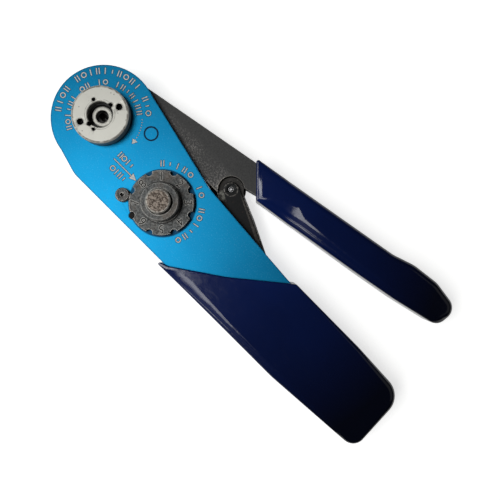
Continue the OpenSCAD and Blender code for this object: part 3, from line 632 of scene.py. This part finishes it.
fixed_mesh = sleeve("fixed_grip_vinyl", FIXED_GRIP_CORNERS, 0, FIXED_GRIP_TOP)
fixed_sleeve = add_piece("fixed_grip_vinyl", fixed_mesh, vinyl, "frame")
cut_out(fixed_sleeve, slab("cavity", [point for point, *_ in rounded(PLATE_REAR)], PLATES_LOW, PLATE_TOP))
fixed_sleeve.data.set_sharp_from_angle(angle=math.radians(50))
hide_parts("fixed_grip")


# The moving grip is the vinyl over the lever's tang. Its end bends up to stop the hand. Where it was dipped,
# the vinyl has drawn in over the steel's edge and left a flat facet behind the front.
MOVING_GRIP_LOW = 0.65
MOVING_GRIP_TOP = 16.15
MOVING_GRIP_CORNERS = [
    (61.5, 18.4, 0.8, 1.0, 1, 0.9, 0.17),
    (66, 19.07, 0, 2.6, 1, 0.5, 0.1),
    (71, 19.81, 0, 3.1, 1, 1.6, 0.45),
    (76, 20.55, 0, 3.2, 1, 3.2, 0.95),
    (80, 21.3, 0, 3.3, 1, 0.8, 0.2),
    (92, 23.2, 0, 3.2, 1, 0, 0),
    (108, 25.8, 60, 2.6, 1, 0, 0),
    (124, 28.7, 30, 2.2, 1, 0, 0),
    (142.4, 33, 4.5, 2.4, 0.4, 0, 0),
    (143.4, 42.6, 5, 2.6, 0, 0, 0),
    (131, 44.4, 10, 2.6, 0, 0, 0),
    (120.4, 43.1, 14, 2.6, 0, 0, 0),
    (112, 40.3, 12, 2.6, 0, 0, 0),
    (65.5, 32.2, 40, 2.6, 0, 0, 0),
    (50.5, 29.5, 0.8, 1.0, 1, 0.9, 0.17),
]
moving_mesh = sleeve("moving_grip_vinyl", MOVING_GRIP_CORNERS, MOVING_GRIP_LOW, MOVING_GRIP_TOP)
moving_sleeve = add_piece("moving_grip_vinyl", moving_mesh, vinyl, "lever")
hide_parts("moving_grip")


# The retainer and its hub are turned aluminium with a clear satin coat. The coat has worn off the rim, where
# the metal has gone grey, and the face has small nicks and the faint mark of a positioner's flange. Painted
# shade makes the side wall darker below the rim and blackens the socket, the holes, the bore and the hub's
# side.
RETAINER_TOP = 21.4
RETAINER_R = 10.5
HUB_TOP = 17.6
HUB_R = 3.7
HUB_BORE_R = 2.27
FLANGE_MARK_R = 5.5
NICK_SPACING = 2.0


def fade_along(tree, place, way, start_mm, end_mm, low=0.0, high=1.0):
    """Low at one place along X, Y or Z, and high at the other."""
    return add_node(tree, "MapRange", {
        "Value": add_node(tree, "SeparateXYZ", {0: place}, way),
        "From Min": start_mm * MM, "From Max": end_mm * MM, "To Min": low, "To Max": high,
    })


satin, tree, place = blank_material("satin_aluminium")
swirl = blotches(tree, place, 4, detail=4.0)
fresh = layered(tree, "#d9d8ce", "#e7e6dc", swirl)
worn_off = blotches(tree, place, 1.6, detail=4.0, start=0.3, end=0.55)
rim_wear_and_highlight = layered(tree, fresh, "#3d3932", edge_mask(tree, 0.8, full=0.8, start=0.99), worn_off)
to_nick = add_node(tree, "TexVoronoi", {"Vector": place, "Scale": 1 / (NICK_SPACING * MM)}, "Distance")
nicks = add_node(tree, "MapRange", {
    "Value": to_nick, "From Min": 0.07, "From Max": 0.13, "To Min": 0.8, "To Max": 0,
})
nicked = layered(tree, rim_wear_and_highlight, "#6b675d", nicks)
rim_line = ring_line(tree, place, RETAINER_AXIS, RETAINER_R - 0.55, 0.3)
patchy = blotches(tree, place, 1.6, detail=4.0, start=0.4, end=0.55, low=0.2, high=0.9)
nicked = layered(tree, nicked, "#77736a", rim_line, patchy)
flange_mark = ring_line(tree, place, RETAINER_AXIS, FLANGE_MARK_R, 0.16)
faint = blotches(tree, place, 3, start=0.35, end=0.6, high=0.6)
scribed = layered(tree, nicked, "#6a675f", flange_mark, faint)
# Painted shade: the side wall darkens from just below the rim downward.
on_wall = round_axis(tree, place, RETAINER_AXIS, RETAINER_R - 0.3, RETAINER_R - 0.05)
below_rim = fade_along(tree, place, "Z", RETAINER_TOP - 0.2, RETAINER_TOP - 0.8, high=0.8)
wall_shaded = layered(tree, scribed, "#55534f", on_wall, below_rim)
# Painted shade: black, without the metal's gleam, in the socket and holes, in the hub's bore and round the
# hub's side.
holes = overlap(
    tree,
    round_axis(tree, place, RETAINER_AXIS, RETAINER_R - 0.7, RETAINER_R - 0.9),
    round_axis(tree, place, RETAINER_AXIS, HUB_R + 0.2, HUB_R + 0.35),
    fade_along(tree, place, "Z", RETAINER_TOP - 0.15, RETAINER_TOP - 0.5),
)
bore = overlap(
    tree,
    round_axis(tree, place, RETAINER_AXIS, HUB_BORE_R + 0.13, HUB_BORE_R + 0.03),
    fade_along(tree, place, "Z", HUB_TOP - 0.05, HUB_TOP - 0.3),
)
hub_side = overlap(
    tree,
    round_axis(tree, place, RETAINER_AXIS, HUB_R + 0.2, HUB_R - 0.1, low=1, high=0),
    fade_along(tree, place, "Z", HUB_TOP - 0.3, HUB_TOP - 0.6),
)
recess_shade = either(tree, holes, bore, hub_side)
surface(
    tree, [(swirl, 0.1, 0.1)],
    Base_Color=layered(tree, wall_shaded, "#070605", recess_shade),
    Metallic=add_node(tree, "MapRange", {"Value": recess_shade, "To Min": 0.35, "To Max": 0}),
    Roughness=0.5,
)
dress("positioner_ring", satin, 0.12)
dress("thrust_hub", satin, 0.1)


# The dial, its shaft and the post beside it are steel with a thin black oxide that has mostly rubbed off, so
# they are mid grey and mottled brown, with bare bright metal along every edge. The shaft's end is pitted with
# rust inside a painted highlight on its rim. Painted shade blackens the gap round the shaft, the boss's
# corner and the post's hole.
MOTTLE = {"size_mm": 0.8, "detail": 6.0, "roughness": 0.7}
DIAL_FACE = 18.4
BOSS_R = 7.1
BOSS_TOP = 24.0
SHAFT_END_R = 4.4
LOCK_POST = (25.384, -15.158)
LOCK_HOLE_R = 0.75
worn_steel, tree, place = blank_material("rubbed_black_oxide_steel")
base = layered(tree, "#1d1e1e", "#686a69", blotches(tree, place, **MOTTLE, start=0.38, end=0.62))
stained = layered(tree, base, "#6d5f52", blotches(tree, place, 5, start=0.5, end=0.7, high=0.35))
on_shaft = fade_along(tree, place, "Z", BOSS_TOP + 0.2, BOSS_TOP + 0.6)
pits = blotches(tree, place, 0.8, detail=5.0, roughness=0.8, start=0.48, end=0.54)
rusted = layered(tree, layered(tree, stained, "#33281f", on_shaft), "#8f8479", on_shaft, pits)
# Painted highlight: a bright ring just inside the rim of the shaft's end.
shaft_rim_highlight = ring_line(tree, place, DIAL_AXIS, SHAFT_END_R - 0.25, 0.32)
chipped = blotches(tree, place, **MOTTLE, start=0.35, end=0.55)
rim_wear_and_highlight = layered(tree, rusted, "#d2cdc2", on_shaft, shaft_rim_highlight, chipped)
# Painted shade: black in the gap round the shaft, in the corner at the boss's foot and in the post's hole.
round_shaft = overlap(
    tree,
    round_axis(tree, place, DIAL_AXIS, SHAFT_END_R + 0.6, SHAFT_END_R + 0.45),
    fade_along(tree, place, "Z", BOSS_TOP - 0.05, BOSS_TOP - 0.4),
)
round_boss = overlap(
    tree,
    ring_line(tree, place, DIAL_AXIS, BOSS_R + 0.3, 0.6),
    fade_along(tree, place, "Z", DIAL_FACE + 0.5, DIAL_FACE + 0.1, high=0.7),
)
post_hole = round_axis(tree, place, LOCK_POST, LOCK_HOLE_R + 0.2, LOCK_HOLE_R + 0.05)
shaded = layered(tree, rim_wear_and_highlight, "#080706", either(tree, round_shaft, round_boss, post_hole))
rubbed = blotches(tree, place, **MOTTLE, start=0.35, end=0.5, high=0.9)
surface(
    tree, [(blotches(tree, place, **MOTTLE), 0.3, 0.05)],
    Base_Color=layered(tree, shaded, "#c9c7c1", edge_mask(tree, 0.5, full=0.9, start=0.995), rubbed),
    Metallic=0.6,
    Roughness=blotches(tree, place, **MOTTLE, low=0.38, high=0.6),
)
dress("selector_shaft", worn_steel, 0.2)
dress("lock_post", worn_steel, 0.12)


# The dial's eight positions are numbers that were stamped cold into its face, each square to the rim. Black
# dirt has stayed in them.
STAMP_SIZE = 4.4
STAMP_DEPTH = 0.3
DIGIT_RING = 9.6
FIRST_ANGLE = 135
POSITIONS = 8
# The same black also serves as painted shade on the sheet behind the knuckle.
grime_and_shade, tree, place = blank_material("black_grime_and_painted_shade")
clods = blotches(tree, place, 0.3)
surface(tree, [], Base_Color=layered(tree, "#0c0b0a", "#262421", clods), Roughness=0.85)
bm = bmesh.new()
for i in range(POSITIONS):
    stamp = bpy.data.curves.new("stamp", "FONT")
    stamp.body = str(i + 1)
    stamp.align_x = "CENTER"
    stamp.align_y = "CENTER"
    stamp.size = STAMP_SIZE * MM
    stamp.extrude = STAMP_DEPTH * MM
    holder = bpy.data.objects.new("stamp", stamp)
    bpy.context.scene.collection.objects.link(holder)
    digit = bpy.data.meshes.new_from_object(holder.evaluated_get(bpy.context.evaluated_depsgraph_get()))
    angle = FIRST_ANGLE - 360 * i / POSITIONS
    x, y = at(DIAL_AXIS, DIGIT_RING, angle)
    on_face = Matrix.Translation((x * MM, y * MM, DIAL_FACE * MM))
    digit.transform(on_face @ Matrix.Rotation(math.radians(angle - 90), 4, "Z"))
    bm.from_mesh(digit)
    bpy.data.objects.remove(holder)
bmesh.ops.remove_doubles(bm, verts=bm.verts, dist=0.001 * MM)
mesh = bpy.data.meshes.new("stamps")
bm.to_mesh(mesh)
bm.free()
mesh.materials.clear()
mesh.materials.append(grime_and_shade)
stamps = bpy.data.objects.new("stamps", mesh)
bpy.context.scene.collection.objects.link(stamps)
dial_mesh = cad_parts["selector_dial"].data.copy()
dial_mesh.materials.clear()
numbered_dial = add_piece("numbered_dial", dial_mesh, worn_steel, "knob")
break_edges(numbered_dial, 0.15)
stamped = numbered_dial.modifiers.new("stamped", "BOOLEAN")
stamped.object = stamps
stamped.solver = "EXACT"
stamped.material_mode = "TRANSFER"
shaped = bpy.data.meshes.new_from_object(numbered_dial.evaluated_get(bpy.context.evaluated_depsgraph_get()))
numbered_dial.modifiers.clear()
numbered_dial.data = shaped
bpy.data.objects.remove(stamps)
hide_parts("selector_dial")


# The pin in the dial's notch is hard steel that has kept its black oxide. It is pressed into the front plate
# and packed round with dirt.
dress("index_pin", grime_and_shade, 0.1)


# The lever is a thick steel blank with a dark matt oxide. The blank's lower part was left rough, so its oxide
# is speckled there with bare grey points, and its edges have rubbed bright against the plates.
FINE = {"size_mm": 0.6, "detail": 5.0, "roughness": 0.7}
SMOOTH_FROM_Y = 20
ROUGH_BELOW_Y = 12
oxide, tree, place = blank_material("matt_black_oxide_steel")
base = layered(tree, "#363636", "#4a4a49", blotches(tree, place, **FINE, start=0.3, end=0.7))
near_plates = fade_along(tree, place, "Y", SMOOTH_FROM_Y, ROUGH_BELOW_Y)
rough_zone = blotches(tree, place, 9, detail=2.0, start=0.42, end=0.58, low=0.35)
grit = blotches(tree, place, 0.7, detail=4.0, roughness=0.8, start=0.5, end=0.58)
speckled = layered(tree, base, "#a39f9b", rough_zone, near_plates, grit)
rubbed = overlap(
    tree,
    edge_mask(tree, 0.6, full=0.9, start=0.995),
    blotches(tree, place, **FINE, start=0.35, end=0.5),
    fade_along(tree, place, "Y", SMOOTH_FROM_Y, ROUGH_BELOW_Y, low=0.25),
)
surface(
    tree, [(blotches(tree, place, **FINE), 0.3, 0.06)],
    Base_Color=layered(tree, speckled, "#cfc8bd", rubbed),
    Metallic=0.5,
    Roughness=0.5,
)
dress("moving_lever", oxide)


# The link below the strap is plain steel. It is ground bright along the side that faces the moving handle and
# worn at the heel below the knuckle, and painted dark as shade on the side towards the plates.
KNUCKLE = Vector((51.8, 14.8, 0))
LINK_PIN = Vector((90.0, -4.0, 0))
HEEL = (50.7, 10.6)
link_way = (LINK_PIN - KNUCKLE).normalized()
link_side = Vector((-link_way.y, link_way.x, 0))


def beside_link(tree, place, start_mm, end_mm):
    """0 to 1 between two distances from the link's middle line, towards the moving handle."""
    offset = add_node(tree, "VectorMath", {0: place, 1: KNUCKLE * MM}, operation="SUBTRACT")
    across = add_node(tree, "VectorMath", {0: offset, 1: link_side}, "Value", operation="DOT_PRODUCT")
    return add_node(tree, "MapRange", {"Value": across, "From Min": start_mm * MM, "From Max": end_mm * MM})


GRIND_LINES = {"size_mm": 1.2, "detail": 5.0, "roughness": 0.7}
ground_link, tree, place = blank_material("ground_steel_with_painted_shade")
lines = blotches(tree, place, **GRIND_LINES)
clean = layered(tree, "#484847", "#767573", lines)
# Painted shade: the link's steel is near black on the side towards the plates, where it stands in for the
# shade between them.
shaded = layered(tree, "#151413", "#2b2723", lines)
side = overlap(
    tree,
    beside_link(tree, place, -2.5, 0.5),
    round_axis(tree, place, KNUCKLE, 4.5, 7, low=0.1),
)
streaks = blotches(tree, place, 0.9, detail=5.0, roughness=0.8, start=0.56, end=0.62)
polished = layered(tree, layered(tree, shaded, clean, side), "#c4c0ba", side, streaks)
at_heel = round_axis(tree, place, HEEL, 2.2, 1.2)
scuffed = blotches(tree, place, **GRIND_LINES, start=0.4, end=0.55)
polished = layered(tree, polished, "#74746d", at_heel, scuffed)
surface(tree, [], Base_Color=polished, Metallic=0.6, Roughness=0.45)
dress("toggle_link", ground_link, 0.12)


# The ratchet strap on the link has its full black oxide, with a film of oil. The knuckle's washer has worn a
# ring round the pin, hands have rubbed the side away from the plates, and there are brown specks of rust.
# The screws and the shaft's clip have the same finish.
FILM = {"size_mm": 0.8, "detail": 4.0}
WASHER_R = 2.5
black_oxide, tree, place = blank_material("oiled_black_oxide_steel")
base = layered(tree, "#090a0b", "#131516", blotches(tree, place, **FILM))
rust = blotches(tree, place, 1.4, detail=6.0, roughness=0.8, start=0.6, end=0.7, high=0.6)
rusty = layered(tree, base, "#4a3630", rust)
rubbed_side = overlap(
    tree,
    beside_link(tree, place, 2.5, 2.7),
    round_axis(tree, place, KNUCKLE, 4, 6),
    blotches(tree, place, 0.8, detail=5.0, roughness=0.8, start=0.45, end=0.62, low=0.35),
)
rubbed = layered(tree, rusty, "#4f4b47", rubbed_side)
washer_ring = ring_line(tree, place, KNUCKLE, WASHER_R, 0.3)
broken_up = blotches(tree, place, **FILM, start=0.4, end=0.55)
surface(
    tree, [(blotches(tree, place, **FILM), 0.2, 0.05)],
    Base_Color=layered(tree, rubbed, "#5d5a56", washer_ring, broken_up),
    Metallic=0.7,
    Roughness=0.42,
)
dress("ratchet_sector", black_oxide, 0.12)
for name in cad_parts:
    if name.startswith(("body_screw", "retainer_screw", "shaft_clip")):
        dress(name, black_oxide, 0.08)


# A thin dark sheet lies along the back plate's edge behind the knuckle, painted shade that fills the gap
# there with black, and the lever and the link pass over it. It has the black grime finish, so nothing gleams.
SHADE_SHEET_LOW = 1.6
SHADE_SHEET_TOP = 4.3
SHADE_SHEET = [(38.5, 11.0), (40, 10.66), (46.4, 9.22), (60, 8.2), (60, 9.2), (50, 13.2), (39, 13.2)]
shade_sheet = slab("knuckle_shade_sheet", [Vector(corner) for corner in SHADE_SHEET], SHADE_SHEET_LOW, SHADE_SHEET_TOP)
shade_sheet.data.materials.append(grime_and_shade)
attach(shade_sheet, "frame")


# The pins are ground steel. The knuckle's is the one that shows: its end was riveted with a hollow punch,
# which left a dark ring in it.
PUNCH_R = 0.62
pin_steel, tree, place = blank_material("riveted_pin_steel")
haze = layered(tree, "#a9a9aa", "#c8c8c8", blotches(tree, place, 0.6))
punched = ring_line(tree, place, KNUCKLE, PUNCH_R, 0.28)
surface(
    tree, [],
    Base_Color=layered(tree, haze, "#2a2a2b", punched),
    Metallic=0.6,
    Roughness=blotches(tree, place, 0.6, low=0.4, high=0.6),
)
dress("knuckle_pin", pin_steel, 0.35)
dress("drive_pin", pin_steel)
dress("link_pin", pin_steel)


# The parts between the plates, such as the cam ring, the indenters, the posts and the pawl, are steel. Old
# oil has left a brown film on them, and they are painted darker as shade, so they stay dark.
oiled_and_shaded, tree, place = blank_material("oiled_steel_painted_dark")
# Painted shade: a darker steel colour for the parts that sit in shade between the plates.
film = blotches(tree, place, 2.0, detail=4.0)
surface(tree, [], Base_Color=layered(tree, "#2c2a28", "#504c47", film), Metallic=0.8, Roughness=0.4)
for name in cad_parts:
    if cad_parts[name].material_slots[0].material.name.split(".")[0] in ("plain_steel", "worn_steel"):
        dress(name, oiled_and_shaded)


def squeezed_spring(node, name, body):
    """Stands for a CAD spring with a copy of its mesh that rides on a body."""
    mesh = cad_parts[node].data.copy()
    mesh.materials.clear()
    spring = add_piece(name, mesh, oiled_and_shaded, body)
    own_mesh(spring)
    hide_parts(node)


squeezed_spring("thrust_spring", "hub_coil_spring", "frame")
squeezed_spring("selector_spring", "dial_coil_spring", "selector")
